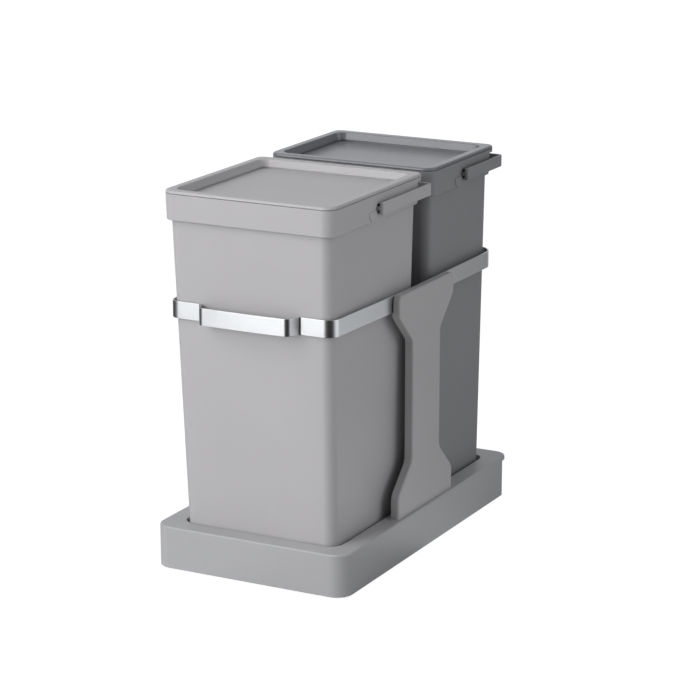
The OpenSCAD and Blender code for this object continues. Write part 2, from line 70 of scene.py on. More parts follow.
# Heights of an upright's four bends, as shares of its height: end of the foot, both ends of
# the waist, start of the head.
UPRIGHT_BENDS = (0.103, 0.229, 0.778, 0.908)
# Half the width of the studio floor, in metres.
FLOOR_HALF = 6.0
# The lamps' widths and places, in metres.
LAMPS = {
    "key": (2.8, (-1.911, -2.277, 2.917)),
    "front": (2.0, (-1.327, -3.647, 1.208)),
    "side": (2.2, (3.79, 0.332, 1.476)),
}
LAMP_AIM = (0, 0, 0.24)
# Brightness of the studio by compass direction, in degrees from the front towards the right:
# a softbox at the front left, one on the right, and the dark room behind the camera. The light
# of the room is a little cool.
STUDIO = (
    (-180, 0.65), (-125, 0.65), (-105, 0.05), (-62, 0.05), (-46, 0.35), (-34, 0.55),
    (-22, 0.81), (-13, 0.81), (-6, 0.2), (3, 0.02), (68, 0.02), (80, 0.35),
    (92, 0.86), (120, 0.86), (144, 0.38), (154, 0.18), (164, 0.18), (176, 0.65),
)
# The camera stands right of the front and a little above the unit.
CAMERA_AZIMUTH, CAMERA_ELEVATION = 27.73, 14.85
CAMERA_PLACE = (1.44182, TRAY_LOW.y - 2.51586, 1.05749)


def linear(code):
    """The linear colour of an sRGB hex code."""
    parts = [int(code[i : i + 2], 16) / 255 for i in (0, 2, 4)]
    return [v / 12.92 if v <= 0.04045 else ((v + 0.055) / 1.055) ** 2.4 for v in parts]


def length(name, text, value):
    """A size in metres for the panel."""
    return FloatProperty(name=name, description=text, default=value, unit="LENGTH", precision=4)


def colour(name, text, code):
    """A colour for the panel, from its sRGB hex code."""
    return FloatVectorProperty(
        name=name, description=text, default=linear(code), subtype="COLOR", size=3, min=0, max=1
    )


def watts(name, text, value):
    """A lamp's power for the panel."""
    return FloatProperty(name=name, description=text, default=value, unit="POWER")


class WasteTraySizes(bpy.types.PropertyGroup):
    wall: length("Wall", "Wall of the moulded tray", 2.5 * MM)
    front_radius: length("Front corners", "Radius of the two front corners", 20 * MM)
    rear_radius: length("Rear corners", "Radius of the plate's rear corners", 18 * MM)
    edge: length("Upper edge", "Rounding of the upper edge", 2 * MM)
    tail: length("Tail", "Plate behind the side skirts", 21 * MM)
    tail_edge: length("Tail edge", "Height of the turned-down edge behind the skirts", 5.5 * MM)
    side_margin: length("Side margin", "Plate left and right of the wells", 23.1 * MM)
    front_margin: length("Front margin", "Plate in front of the front well", 24.8 * MM)
    rear_margin: length("Rear margin", "Plate behind the rear well", 25 * MM)
    bridge: length("Bridge", "Plate between the two wells", 32 * MM)
    depth: length("Well depth", "Depth of the wells below the plate", 38.5 * MM)
    well_radius: length("Well corners", "Radius of the wells' corners", 16 * MM)


class WasteBinSizes(bpy.types.PropertyGroup):
    wall: length("Wall", "Wall of a bin", 2.2 * MM)
    collar: length("Collar height", "Height of the collar round the mouth", 30.4 * MM)
    flare: length("Flare", "Flare of the collar from its lower edge to the rim", 1 * MM)
    step: length("Collar step", "Step from the collar in to the walls", 4.9 * MM)
    rear_step: length("Rear step", "Step from the collar in to the rear wall", 1.6 * MM)
    radius: length("Collar corners", "Radius of the collar's corners", 15 * MM)
    seat: length("Seat reach", "Reach of the lid seat behind the collar", 4.6 * MM)
    seat_height: length("Seat height", "Height of the lid seat", 4 * MM)
    seat_radius: length("Seat corners", "Radius of the rear corners of seat and lid", 10.5 * MM)
    pad_width: length("Pad width", "Length of the raised pad below a pivot", 46 * MM)
    pad_height: length("Pad height", "Height of that pad", 12.1 * MM)
    pad_raise: length("Pad rise", "Rise of the pad over the collar's lower edge line", 1.2 * MM)
    hole: length("Pivot hole", "Radius of the round opening around a handle's pin", 6.2 * MM)
    bush: length("Pivot bush", "Radius of the bush that carries the pin", 3.85 * MM)
    bush_length: length("Bush length", "Length of that bush", 2 * MM)
    foot: length("Foot rounding", "Rounding between wall and foot", 3 * MM)


class WasteLidSizes(bpy.types.PropertyGroup):
    gap: length("Foot gap", "Height of the shadow gap at the foot of the rim's inner wall", 1.7 * MM)
    gap_depth: length("Foot gap depth", "Depth of that shadow gap", 1.2 * MM)
    joint: length("Joint", "Height of the shadow joint between lid and collar", 0.6 * MM)
    joint_depth: length("Joint depth", "Depth of the shadow joint", 2.6 * MM)
    rim: length("Rim width", "Width of the raised rim", 10.8 * MM)
    rear_rim: length("Rear rim width", "Width of the rim at the back", 13.6 * MM)
    dish: length("Dish depth", "Depth of the dished middle", 10.5 * MM)
    wall: length("Wall", "Wall of a lid", 2 * MM)
    edge: length("Outer edge", "Rounding of the rim's outer upper edge", 2.8 * MM)
    lip: length("Inner edge", "Rounding of the rim's inner edge", 1.2 * MM)
    draft: length("Draft", "Slope of the dish's wall, top to bottom", 3 * MM)


class WasteHandleSizes(bpy.types.PropertyGroup):
    height: length("Bar height", "Height of the flat bar", 14 * MM)
    thickness: length("Bar thickness", "Thickness of the flat bar", 4 * MM)
    bend: length("Bend", "Radius of the bar's two bends", 7.5 * MM)
    front: length("Arm front", "Reach of an arm's end in front of its pivot", 3.6 * MM)
    pin: length("Pin radius", "Radius of the pivot pin", 2.5 * MM)


class WasteBandSizes(bpy.types.PropertyGroup):
    thickness: length("Strip thickness", "Thickness of the steel strip", 1.6 * MM)
    bow: length("Bow width", "Width of the bow that serves as the grip", 112.5 * MM)
    bulge: length("Bow bulge", "How far the middle of the bow stands before its ends", 1.2 * MM)
    jog: length("Bow bend", "Sideways run of the bow's two bends", 7.5 * MM)
    front_inset: length("Front inset", "Band's front corners inside the tray's side", 19.2 * MM)
    setback: length("Setback", "Band's front run behind the tray's front", 9.7 * MM)
    flare: length("Flare", "Where the band reaches its full width", 170 * MM)
    rear_radius: length("Rear corners", "Radius of the rear corners", 28 * MM)


class WasteUprightSizes(bpy.types.PropertyGroup):
    waist: length("Waist", "Width of an upright at its waist", 73.6 * MM)
    edge: length("Edge", "Rounding of the outer edges", 2.4 * MM)
    flare_radius: length("Flare radius", "Radius of the bends towards the waist", 16 * MM)
    head_bend: length("Head bend", "Radius of the two bends below the head", 9 * MM)
    head_radius: length("Head radius", "Radius of the head's corners", 6 * MM)


class WasteColours(bpy.types.PropertyGroup):
    light: colour("Light grey", "Moulded plastic of the front bin", "BCBABC")
    dark: colour("Dark grey", "Moulded plastic of the rear bin", "8C8C8F")
    dark_lid: colour("Lid grey", "Moulded plastic of the rear lid", "7B7C81")
    tray: colour("Tray grey", "Moulded plastic of the tray", "B4B4B6")
    upright: colour("Upright grey", "Moulded plastic of the uprights", "B9B7B8")
    steel: colour("Steel", "Brushed stainless steel", "D3D4D5")
    zinc: colour("Zinc", "Zinc-plated steel", "C3C7CA")
    coat: colour("Coating", "Powder coating of the floor frame", "7D8083")


class WasteStudio(bpy.types.PropertyGroup):
    lens: FloatProperty(name="Lens", description="Focal length on a 36 mm sensor", default=142.006)
    key: watts("Key light", "Power of the high light on the left", 66.0)
    front: watts("Front light", "Power of the low light in front", 61.0)
    side: watts("Side light", "Power of the light on the right", 16.0)
    ambient: FloatProperty(name="Ambient", description="Brightness of the surroundings", default=0.87)
    mirror: FloatProperty(
        name="Reflections", description="Brightness of the softboxes in reflections", default=1.25
    )
    corner_steps: IntProperty(name="Corner steps", description="Faces round a corner", default=14)


GROUPS = {
    "waste_tray": WasteTraySizes,
    "waste_bin": WasteBinSizes,
    "waste_lid": WasteLidSizes,
    "waste_handle": WasteHandleSizes,
    "waste_band": WasteBandSizes,
    "waste_upright": WasteUprightSizes,
    "waste_colours": WasteColours,
    "waste_studio": WasteStudio,
}


# Shapes


def arc(x, y, r, start, end, steps):
    """Points on a round, angles in degrees."""
    turns = [math.radians(start + (end - start) * i / steps) for i in range(steps + 1)]
    return [(x + r * math.cos(a), y + r * math.sin(a)) for a in turns]


def outline(half, y0, y1, front_r, rear_r, steps=14):
    """Rounded rectangle symmetric about the unit's middle, counter-clockwise."""
    f, b = max(front_r, 0.1 * MM), max(rear_r, 0.1 * MM)
    return (
        arc(f - half, y0 + f, f, 180, 270, steps)
        + arc(half - f, y0 + f, f, 270, 360, steps)
        + arc(half - b, y1 - b, b, 0, 90, steps)
        + arc(b - half, y1 - b, b, 90, 180, steps)
    )


def grown(shape, t):
    """The rounded rectangle (half, y0, y1, front radius, rear radius) grown by t."""
    half, y0, y1, f, b = shape
    return (half + t, y0 - t, y1 + t, f + t, b + t)


def ring(shape, z):
    """A rounded rectangle's points at the height z."""
    return [(x, y, z) for x, y in outline(*shape)]


def rounded_path(points, radii, steps, closed=True):
    """A polyline's points with its corners rounded, each with its own radius."""
    count, path = len(points), []
    for i, (point, r) in enumerate(zip(points, radii)):
        if not closed and i in (0, count - 1):
            path.append(Vector(point))
            continue
        b = Vector(point)
        u = (Vector(points[i - 1]) - b).normalized()
        v = (Vector(points[(i + 1) % count]) - b).normalized()
        half = u.angle(v) / 2
        centre = b + (u + v).normalized() * r / math.sin(half)
        first, last = b + u * r / math.tan(half) - centre, b + v * r / math.tan(half) - centre
        sweep = first.angle_signed(last)
        for k in range(steps + 1):
            a = -sweep * k / steps
            path.append(
                centre
                + Vector(
                    (
                        first.x * math.cos(a) - first.y * math.sin(a),
                        first.x * math.sin(a) + first.y * math.cos(a),
                    )
                )
            )
    return path


def skin(bm, rings, start=True, end=True, closed=False):
    """Quads between rings of equal length, with a face over the first and last where asked."""
    made = [[bm.verts.new(p) for p in points] for points in rings]
    count = len(made[0])
    pairs = list(zip(made, made[1:])) + ([(made[-1], made[0])] if closed else [])
    for low, high in pairs:
        for i in range(count):
            j = (i + 1) % count
            bm.faces.new((low[i], low[j], high[j], high[i]))
    if start and not closed:
        bm.faces.new(list(reversed(made[0])))
    if end and not closed:
        bm.faces.new(made[-1])
    return made


def block(bm, low, high):
    """A plain rib between two corners."""
    (x0, y0, z0), (x1, y1, z1) = low, high
    flat = [(x0, y0), (x1, y0), (x1, y1), (x0, y1)]
    skin(bm, [[(x, y, z) for x, y in flat] for z in (z0, z1)])


def rod(sign, x0, x1, r, centre, soft=0.0, steps=48):
    """A closed round rod along X on the side given by sign, its far end softened."""
    bm = bmesh.new()
    ends = [(x0 + soft, r), (x1, r)]
    if soft:
        ends = [(x0, r - soft), (x0 + soft * 0.3, r - soft * 0.3)] + ends
    turns = arc(0, 0, 1, 0, 360 - 360 / steps, steps - 1)
    skin(bm, [[(sign * x, centre.y + y * q, centre.z + z * q) for y, z in turns] for x, q in ends])
    bmesh.ops.recalc_face_normals(bm, faces=bm.faces)
    return bm


def carved(bm, tools):
    """The mesh after each tool is added to it or cut from it."""
    scene = bpy.context.scene
    for operation, tool in tools:
        made = []
        for label, part in (("work", bm), ("tool", tool)):
            bmesh.ops.recalc_face_normals(part, faces=part.faces)
            mesh = bpy.data.meshes.new(label)
            part.to_mesh(mesh)
            part.free()
            made.append(bpy.data.objects.new(label, mesh))
            scene.collection.objects.link(made[-1])
        cut = made[0].modifiers.new("carve", "BOOLEAN")
        cut.operation, cut.solver, cut.object = operation, "EXACT", made[1]
        bpy.context.view_layer.update()
        graph = bpy.context.evaluated_depsgraph_get()
        result = bpy.data.meshes.new_from_object(made[0].evaluated_get(graph))
        bm = bmesh.new()
        bm.from_mesh(result)
        for mesh in (result, made[0].data, made[1].data):
            bpy.data.meshes.remove(mesh)
    return bm


def joint(name):
    """The frame's joint of that name."""
    return next(j for j in frame["joints"] if j["name"] == name)


def piece(name, bm, material, body, *nodes, slot=None, sharp=32):
    """Turns a mesh into a piece that rides on a body and stands for its CAD nodes."""
    bmesh.ops.remove_doubles(bm, verts=bm.verts, dist=1e-6)
    bmesh.ops.recalc_face_normals(bm, faces=bm.faces)
    mesh = bpy.data.meshes.new(name)
    bm.to_mesh(mesh)
    bm.free()
    mesh.polygons.foreach_set("use_smooth", [True] * len(mesh.polygons))
    mesh.set_sharp_from_angle(angle=math.radians(sharp))
    mesh.materials.append(material)
    obj = bpy.data.objects.new(name, mesh)
    bpy.context.scene.collection.objects.link(obj)
    soften = obj.modifiers.new("flat faces stay flat", "WEIGHTED_NORMAL")
    soften.keep_sharp = True
    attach(obj, body)
    if nodes:
        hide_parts(*nodes)
    return obj


# Materials


def add(tree, kind, settings=None, inputs=None, links=None):
    """Adds a node. settings are its own values, inputs its sockets' values, links its sources."""
    node = tree.nodes.new(kind)
    for key, value in (settings or {}).items():
        setattr(node, key, value)
    for key, value in (inputs or {}).items():
        node.inputs[key].default_value = value
    for key, source in (links or {}).items():
        tree.links.new(source, node.inputs[key])
    return node


def new_material(name):
    """An empty node material and its tree."""
    material = bpy.data.materials.get(name) or bpy.data.materials.new(name)
    material.use_nodes = True
    material.node_tree.nodes.clear()
    return material, material.node_tree


def finish_material(tree, shader):
    """Leads the shader to the material's output."""
    add(tree, "ShaderNodeOutputMaterial", links={"Surface": shader})


def ramp_between(tree, source, low, high, first, last):
    """A colour ramp from first to last between the two places low and high."""
    node = add(tree, "ShaderNodeValToRGB", links={"Fac": source})
    node.color_ramp.elements[0].position = low
    node.color_ramp.elements[1].position = high
    node.color_ramp.elements[0].color = first
    node.color_ramp.elements[1].color = last
    return node.outputs["Color"]


def shade(rgb, share):
    """The colour made darker or lighter by a share."""
    return [min(1, v * share) for v in rgb[:3]] + [1]


def moulded_polypropylene(name, rgb, roughness=0.46):
    """Injection-moulded polypropylene with an eroded, fine-textured skin: a soft satin
    gloss, a faint flow shading over hands' widths, and a fine grit."""
    material, tree = new_material(name)
    place = add(tree, "ShaderNodeTexCoord").outputs["Object"]
    # Flow shading, about 140 mm wide.
    flow = add(
        tree, "ShaderNodeTexNoise", inputs={"Scale": 1 / 0.14, "Detail": 2, "Roughness": 0.5},
        links={"Vector": place},
    )
    tint = ramp_between(tree, flow.outputs["Fac"], 0.3, 0.7, shade(rgb, 0.975), shade(rgb, 1.02))
    # Grit of the eroded mould. The real one is 0.3 mm; it is drawn at 0.9 mm so that it shows.
    grit = add(
        tree, "ShaderNodeTexNoise", inputs={"Scale": 1 / 0.0009, "Detail": 3, "Roughness": 0.6},
        links={"Vector": place},
    )
    skin_bump = add(
        tree, "ShaderNodeBump", inputs={"Strength": 0.22, "Distance": 0.00012},
        links={"Height": grit.outputs["Fac"]},
    )
    speck = ramp_between(
        tree, grit.outputs["Fac"], 0.35, 0.65, (roughness - 0.05,) * 3 + (1,),
        (roughness + 0.05,) * 3 + (1,),
    )
    shader = add(
        tree, "ShaderNodeBsdfPrincipled", inputs={"IOR": 1.49, "Specular IOR Level": 0.5},
        links={"Base Color": tint, "Roughness": speck, "Normal": skin_bump.outputs["Normal"]},
    )
    finish_material(tree, shader.outputs["BSDF"])
    return material


def brushed_stainless(name, rgb):
    """Stainless strip brushed along its length: fine scratches run with the strip, so a
    light spreads into a streak across it."""
    material, tree = new_material(name)
    place = add(tree, "ShaderNodeUVMap", settings={"uv_map": "along"}).outputs["UV"]
    # Brush lines 60 mm long. The real ones are 0.05 mm apart; they are drawn 0.6 mm apart.
    stretched = add(
        tree, "ShaderNodeMapping", inputs={"Scale": (1 / 0.06, 1 / 0.0006, 1)},
        links={"Vector": place},
    )
    lines = add(
        tree, "ShaderNodeTexNoise", inputs={"Scale": 1, "Detail": 4, "Roughness": 0.65},
        links={"Vector": stretched.outputs["Vector"]},
    )
    tint = ramp_between(tree, lines.outputs["Fac"], 0.3, 0.7, shade(rgb, 0.9), shade(rgb, 1.03))
    gloss = ramp_between(tree, lines.outputs["Fac"], 0.3, 0.7, (0.33,) * 3 + (1,), (0.42,) * 3 + (1,))
    relief = add(
        tree, "ShaderNodeBump", inputs={"Strength": 0.25, "Distance": 0.00003},
        links={"Height": lines.outputs["Fac"]},
    )
    run = add(tree, "ShaderNodeTangent", settings={"direction_type": "UV_MAP", "uv_map": "along"})
    shader = add(
        tree, "ShaderNodeBsdfPrincipled",
        inputs={"Metallic": 1, "Anisotropic": 0.5, "Anisotropic Rotation": 0.25},
        links={
            "Base Color": tint, "Roughness": gloss, "Normal": relief.outputs["Normal"],
            "Tangent": run.outputs["Tangent"],
        },
    )
    finish_material(tree, shader.outputs["BSDF"])
    return material


def plated_steel(name, rgb, roughness=0.34):
    """Rolled steel with a zinc plating: a cool, satin metal, slightly cloudy."""
    material, tree = new_material(name)
    place = add(tree, "ShaderNodeTexCoord").outputs["Object"]
    # Clouds of the plating, about 12 mm wide.
    cloud = add(
        tree, "ShaderNodeTexNoise", inputs={"Scale": 1 / 0.012, "Detail": 4, "Roughness": 0.55},
        links={"Vector": place},
    )
    tint = ramp_between(tree, cloud.outputs["Fac"], 0.3, 0.7, shade(rgb, 0.9), shade(rgb, 1.04))
    gloss = ramp_between(
        tree, cloud.outputs["Fac"], 0.3, 0.7, (roughness - 0.06,) * 3 + (1,),
        (roughness + 0.08,) * 3 + (1,),
    )
    shader = add(
        tree, "ShaderNodeBsdfPrincipled", inputs={"Metallic": 1},
        links={"Base Color": tint, "Roughness": gloss},
    )
    finish_material(tree, shader.outputs["BSDF"])
    return material


def powder_coat(name, rgb):
    """Powder-coated sheet steel: an even grey skin with a faint orange peel."""
    material, tree = new_material(name)
    place = add(tree, "ShaderNodeTexCoord").outputs["Object"]
    # Orange peel, about 1.5 mm wide.
    peel = add(
        tree, "ShaderNodeTexNoise", inputs={"Scale": 1 / 0.0015, "Detail": 2},
        links={"Vector": place},
    )
    tint = ramp_between(tree, peel.outputs["Fac"], 0.3, 0.7, shade(rgb, 0.95), shade(rgb, 1.04))
    relief = add(
        tree, "ShaderNodeBump", inputs={"Strength": 0.3, "Distance": 0.00008},
        links={"Height": peel.outputs["Fac"]},
    )
    shader = add(
        tree, "ShaderNodeBsdfPrincipled", inputs={"Roughness": 0.42, "IOR": 1.5},
        links={"Base Color": tint, "Normal": relief.outputs["Normal"]},
    )
    finish_material(tree, shader.outputs["BSDF"])
    return material


def around_the_unit(tree, coordinates):
    """The studio's brightness in the direction that the coordinates give."""
    place = add(tree, "ShaderNodeTexCoord").outputs[coordinates]
    turned = add(
        tree, "ShaderNodeMapping", inputs={"Rotation": (0, 0, math.radians(90))}, links={"Vector": place}
    )
    angle = add(
        tree, "ShaderNodeTexGradient", settings={"gradient_type": "RADIAL"},
        links={"Vector": turned.outputs["Vector"]},
    )
    levels = add(tree, "ShaderNodeValToRGB", links={"Fac": angle.outputs["Fac"]})
    stops = levels.color_ramp.elements
    while len(stops) < len(STUDIO):
        stops.new(1)
    for stop, (degrees, level) in zip(stops, STUDIO):
        stop.position = degrees / 360 + 0.5
        stop.color = (0.955 * level, 0.975 * level, level, 1)
    return levels.outputs["Color"]


def studio_floor(mirror):
    """Matt white studio sweep. The camera sees it near white and keeps a faint shadow. In reflections it
    glows with a painted pattern of the softboxes and the dark room: a painted reflection.
    """
    material, tree = new_material("studio sweep, matt white")
    path = add(tree, "ShaderNodeLightPath")
    paper = add(tree, "ShaderNodeBsdfDiffuse", inputs={"Color": (0.62, 0.62, 0.62, 1)})
    glow = add(tree, "ShaderNodeEmission", inputs={"Color": (1, 1, 1, 1), "Strength": 1.32})
    lit = add(
        tree, "ShaderNodeMixShader", inputs={0: 0.72}, links={1: paper.outputs[0], 2: glow.outputs[0]}
    )
    # Painted reflection: glossy rays see the floor glow with the studio's softboxes and dark room round the
    # unit.
    painted_softbox_glow = add(
        tree, "ShaderNodeEmission", inputs={"Strength": mirror},
        links={"Color": around_the_unit(tree, "Object")},
    )
    unseen = add(
        tree, "ShaderNodeMixShader",
        links={0: path.outputs["Is Glossy Ray"], 1: paper.outputs[0], 2: painted_softbox_glow.outputs[0]},
    )
    both = add(
        tree, "ShaderNodeMixShader",
        links={0: path.outputs["Is Camera Ray"], 1: unseen.outputs[0], 2: lit.outputs[0]},
    )
    finish_material(tree, both.outputs[0])
    return material


# Pieces


def well_shapes():
    """The two wells in plan, front and rear."""
    t = bpy.context.scene.waste_tray
    half = TRAY_HIGH.x - t.side_margin
    front, rear = bin_cases()
    middle = (front["y1"] + rear["y0"]) / 2
    spans = (
        (TRAY_LOW.y + t.front_margin, middle - t.bridge / 2),
        (middle + t.bridge / 2, TRAY_HIGH.y - t.rear_margin),
    )
    return [(half, y0, y1, t.well_radius, t.well_radius) for y0, y1 in spans]


def bin_cases():
    """Both bins' places from their CAD solids, measured at the collar's lower edge."""
    b = bpy.context.scene.waste_bin
    cases = []
    for prefix, drafts, material in (("front", FRONT_DRAFTS, "light"), ("rear", REAR_DRAFTS, "dark")):
        low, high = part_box(prefix + "_bin")
        _, lid_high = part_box(prefix + "_lid")
        half = lid_high.x - b.flare + LID_INSET
        cases.append({
            "prefix": prefix, "half": half, "y0": low.y + b.flare, "y1": high.y - b.seat,
            "z0": low.z, "z1": high.z, "drafts": drafts, "material": material,
        })
    return cases


class WASTE_OT_tray(bpy.types.Operator):
    """Builds the moulded tray with its skirt and its two wells"""

    bl_idname = "waste.tray"
    bl_label = "Tray"

    def execute(self, context):
        t, top = context.scene.waste_tray, TRAY_HIGH.z
        steps = context.scene.waste_studio.corner_steps
        skirt_end = TRAY_HIGH.y - t.tail
        shape = (TRAY_HIGH.x, TRAY_LOW.y, TRAY_HIGH.y, t.front_radius, t.rear_radius)
        flat, tail_low, low = top - t.wall, top - t.tail_edge, TRAY_LOW.z

        def column(inset):
            """The outline inset, with points on both sides of the skirt's end."""
            pts = outline(*grown(shape, -inset), steps)
            side = shape[0] - inset
            cut = 2 * (steps + 1)
            ends = [(side, skirt_end - 0.01 * MM), (side, skirt_end + 0.01 * MM)]
            return pts[:cut] + ends + pts[cut:] + [(-x, y) for x, y in reversed(ends)]

        def level(inset, rise):
            """The outline inset, this far over the lower edges of skirt and tail."""
            pts = column(inset)
            return [(x, y, (tail_low if y > skirt_end else low) + rise) for x, y in pts]

        bm = bmesh.new()
        rings = []
        for i in range(6):
            a = math.radians(90 - 18 * i)
            z = top - t.edge + t.edge * math.sin(a)
            rings.append([(x, y, z) for x, y in column(t.edge * (1 - math.cos(a)))])
        soft = 0.5 * MM
        rings += [level(0, soft), level(soft, 0), level(t.wall - soft, 0), level(t.wall, soft)]
        rings.append([(x, y, flat) for x, y in column(t.wall)])
        hull = skin(bm, rings, False, False)
        top_edges, under_edges = [hull[0]], [hull[-1]]
        lip, floor_r = 1.2 * MM, 3 * MM
        floor = top - t.depth
        under, chamfer = floor - t.wall, 1 * MM
        for well in well_shapes():
            inside = []
            for a in (90, 60, 30, 0):
                a = math.radians(a)
                inside.append(ring(grown(well, lip * (1 - math.cos(a))), top - lip + lip * math.sin(a)))
            for a in (0, 22.5, 45, 67.5, 90):
                a = math.radians(a)
                z = floor + floor_r * (1 - math.sin(a))
                inside.append(ring(grown(well, -floor_r * (1 - math.cos(a))), z))
            top_edges.append(skin(bm, inside, False, True)[0])
            shell = grown(well, t.wall)
            outside = [ring(shell, flat), ring(shell, under + chamfer), ring(grown(shell, -chamfer), under)]
            under_edges.append(skin(bm, outside, False, True)[0])
        for loops in (top_edges, under_edges):
            edges = []
            for loop in loops:
                for i, vert in enumerate(loop):
                    edges.append(bm.edges.get((vert, loop[(i + 1) % len(loop)])))
            bmesh.ops.triangle_fill(bm, use_beauty=True, use_dissolve=False, edges=edges)
        rib, rise, pitch, sunk = 2 * MM, 5.5 * MM, 50 * MM, 0.5 * MM
        for half, y0, y1, _, _ in well_shapes():
            y = y0 + pitch
            while y < y1 - pitch / 2:
                block(bm, (-half, y, under - rise), (half, y + rib, under + sunk))
                y += pitch
            for x in (-pitch, 0, pitch):
                block(bm, (x, y0, under - rise), (x + rib, y1, under + sunk))
        piece("tray", bm, MATERIALS["tray"], "carriage", "base_tray", slot="tray_plastic")
        return {"FINISHED"}


class WASTE_OT_uprights(bpy.types.Operator):
    """Builds the two waisted uprights with the seat of the band at their heads"""

    bl_idname = "waste.uprights"
    bl_label = "Uprights"

    def execute(self, context):
        u = context.scene.waste_upright
        foot, waist = (POST_HIGH.y - POST_LOW.y) / 2, u.waist / 2
        z0, z1, mid = POST_LOW.z, POST_HIGH.z, (POST_LOW.y + POST_HIGH.y) / 2
        tall = z1 - z0
        bends = [share * tall for share in UPRIGHT_BENDS]
        corners = [(foot, 0)] + list(zip((foot, waist, waist, foot), bends)) + [(foot, tall), (0, tall)]
        radii = [0, u.flare_radius, u.flare_radius, u.head_bend, u.head_bend, u.head_radius, 0]
        line = rounded_path(corners, radii, 10, closed=False)[:-1]
        notch = BAND_HIGH.x - POST_LOW.x
        seat = BAND_LOW.z - z0
        levels = [(p.x, p.y) for p in line]
        for i, (w, z) in enumerate(levels):
            if z > seat:
                w0, y0 = levels[i - 1]
                levels.insert(i, (w0 + (w - w0) * (seat - y0) / (z - y0), seat))
                break
        for side in (-1, 1):
            bm, rings = bmesh.new(), []
            for w, z in levels:
                over = max(0, z - tall + u.edge)
                x1 = POST_HIGH.x - u.edge + math.sqrt(max(0, u.edge**2 - over**2))
                inner = [POST_LOW.x] if z < seat else [POST_LOW.x + notch]
                if abs(z - seat) < 1e-9:
                    inner = [POST_LOW.x, POST_LOW.x + notch]
                for x0 in inner:
                    e = min(u.edge, w)
                    section = [(x0, -w)] + arc(x1 - e, e - w, e, 270, 360, 5)
                    section += arc(x1 - e, w - e, e, 0, 90, 5) + [(x0, w)]
                    rings.append([(side * x, mid + y, z0 + z) for x, y in section])
            skin(bm, rings)
            name = "upright_right" if side > 0 else "upright_left"
            piece(
                name + "_moulding", bm, MATERIALS["upright"], "carriage", name,
                slot="upright_plastic", sharp=40,
            )
        return {"FINISHED"}


class WASTE_OT_band(bpy.types.Operator):
    """Bends the brushed steel band with the bow that serves as its grip"""

    bl_idname = "waste.band"
    bl_label = "Band"

    def execute(self, context):
        b = context.scene.waste_band
        half, front = BAND_HIGH.x, TRAY_LOW.y + b.setback
        corner = TRAY_HIGH.x - b.front_inset
        right = [
            (b.bow / 2, BAND_LOW.y + b.bulge), (b.bow / 2 + b.jog, front), (corner, front),
            (half, TRAY_LOW.y + b.flare), (half, BAND_HIGH.y),
        ]
        outer_bend, inner_bend, corner_bend, soft_bend = 7.5 * MM, 3.8 * MM, 14 * MM, 60 * MM
        radii = [outer_bend, inner_bend, corner_bend, soft_bend, b.rear_radius]
        bow = [(x * b.bow / 2, BAND_LOW.y + b.bulge * x * x) for x in (-0.6, -0.3, 0, 0.3, 0.6)]
        points = [(-x, y) for x, y in reversed(right)] + bow + right
        path = rounded_path(points, radii[::-1] + [soft_bend] * len(bow) + radii, 14)
        z0, z1, t, e = BAND_LOW.z, BAND_HIGH.z, b.thickness, 0.35 * MM
        q = e * 0.3
        section = [
            (0, z0 + e), (0, z1 - e), (q, z1 - q), (e, z1), (t - e, z1), (t - q, z1 - q),
            (t, z1 - e), (t, z0 + e), (t - q, z0 + q), (t - e, z0), (e, z0), (q, z0 + q),
        ]
        bm = bmesh.new()
        rings, runs, run = [], [], 0.0
        count = len(path)
        for i, p in enumerate(path):
            before, after = path[i - 1], path[(i + 1) % count]
            u, v = (p - before).normalized(), (after - p).normalized()
            n = Vector((-u.y - v.y, u.x + v.x)).normalized()
            stretch = 1 / max(0.5, n.dot(Vector((-u.y, u.x))))
            rings.append([(p.x + n.x * q * stretch, p.y + n.y * q * stretch, z) for q, z in section])
            runs.append(run)
            run += (after - p).length
        made = skin(bm, rings, closed=True)
        layer = bm.loops.layers.uv.new("along")
        order = {vert: (i, k) for i, verts in enumerate(made) for k, vert in enumerate(verts)}
        for face in bm.faces:
            places = [order[loop.vert] for loop in face.loops]
            wraps = {0, count - 1} <= {i for i, _ in places}
            edge = {0, len(section) - 1} <= {k for _, k in places}
            for loop, (i, k) in zip(face.loops, places):
                q, z = section[k]
                across = z + q + (1e-9 if edge else 0)
                loop[layer].uv = (run if wraps and i == 0 else runs[i], across)
        piece(
            "band_strip", bm, MATERIALS["steel"], "carriage", "retaining_band", slot="band_steel", sharp=60
        )
        return {"FINISHED"}


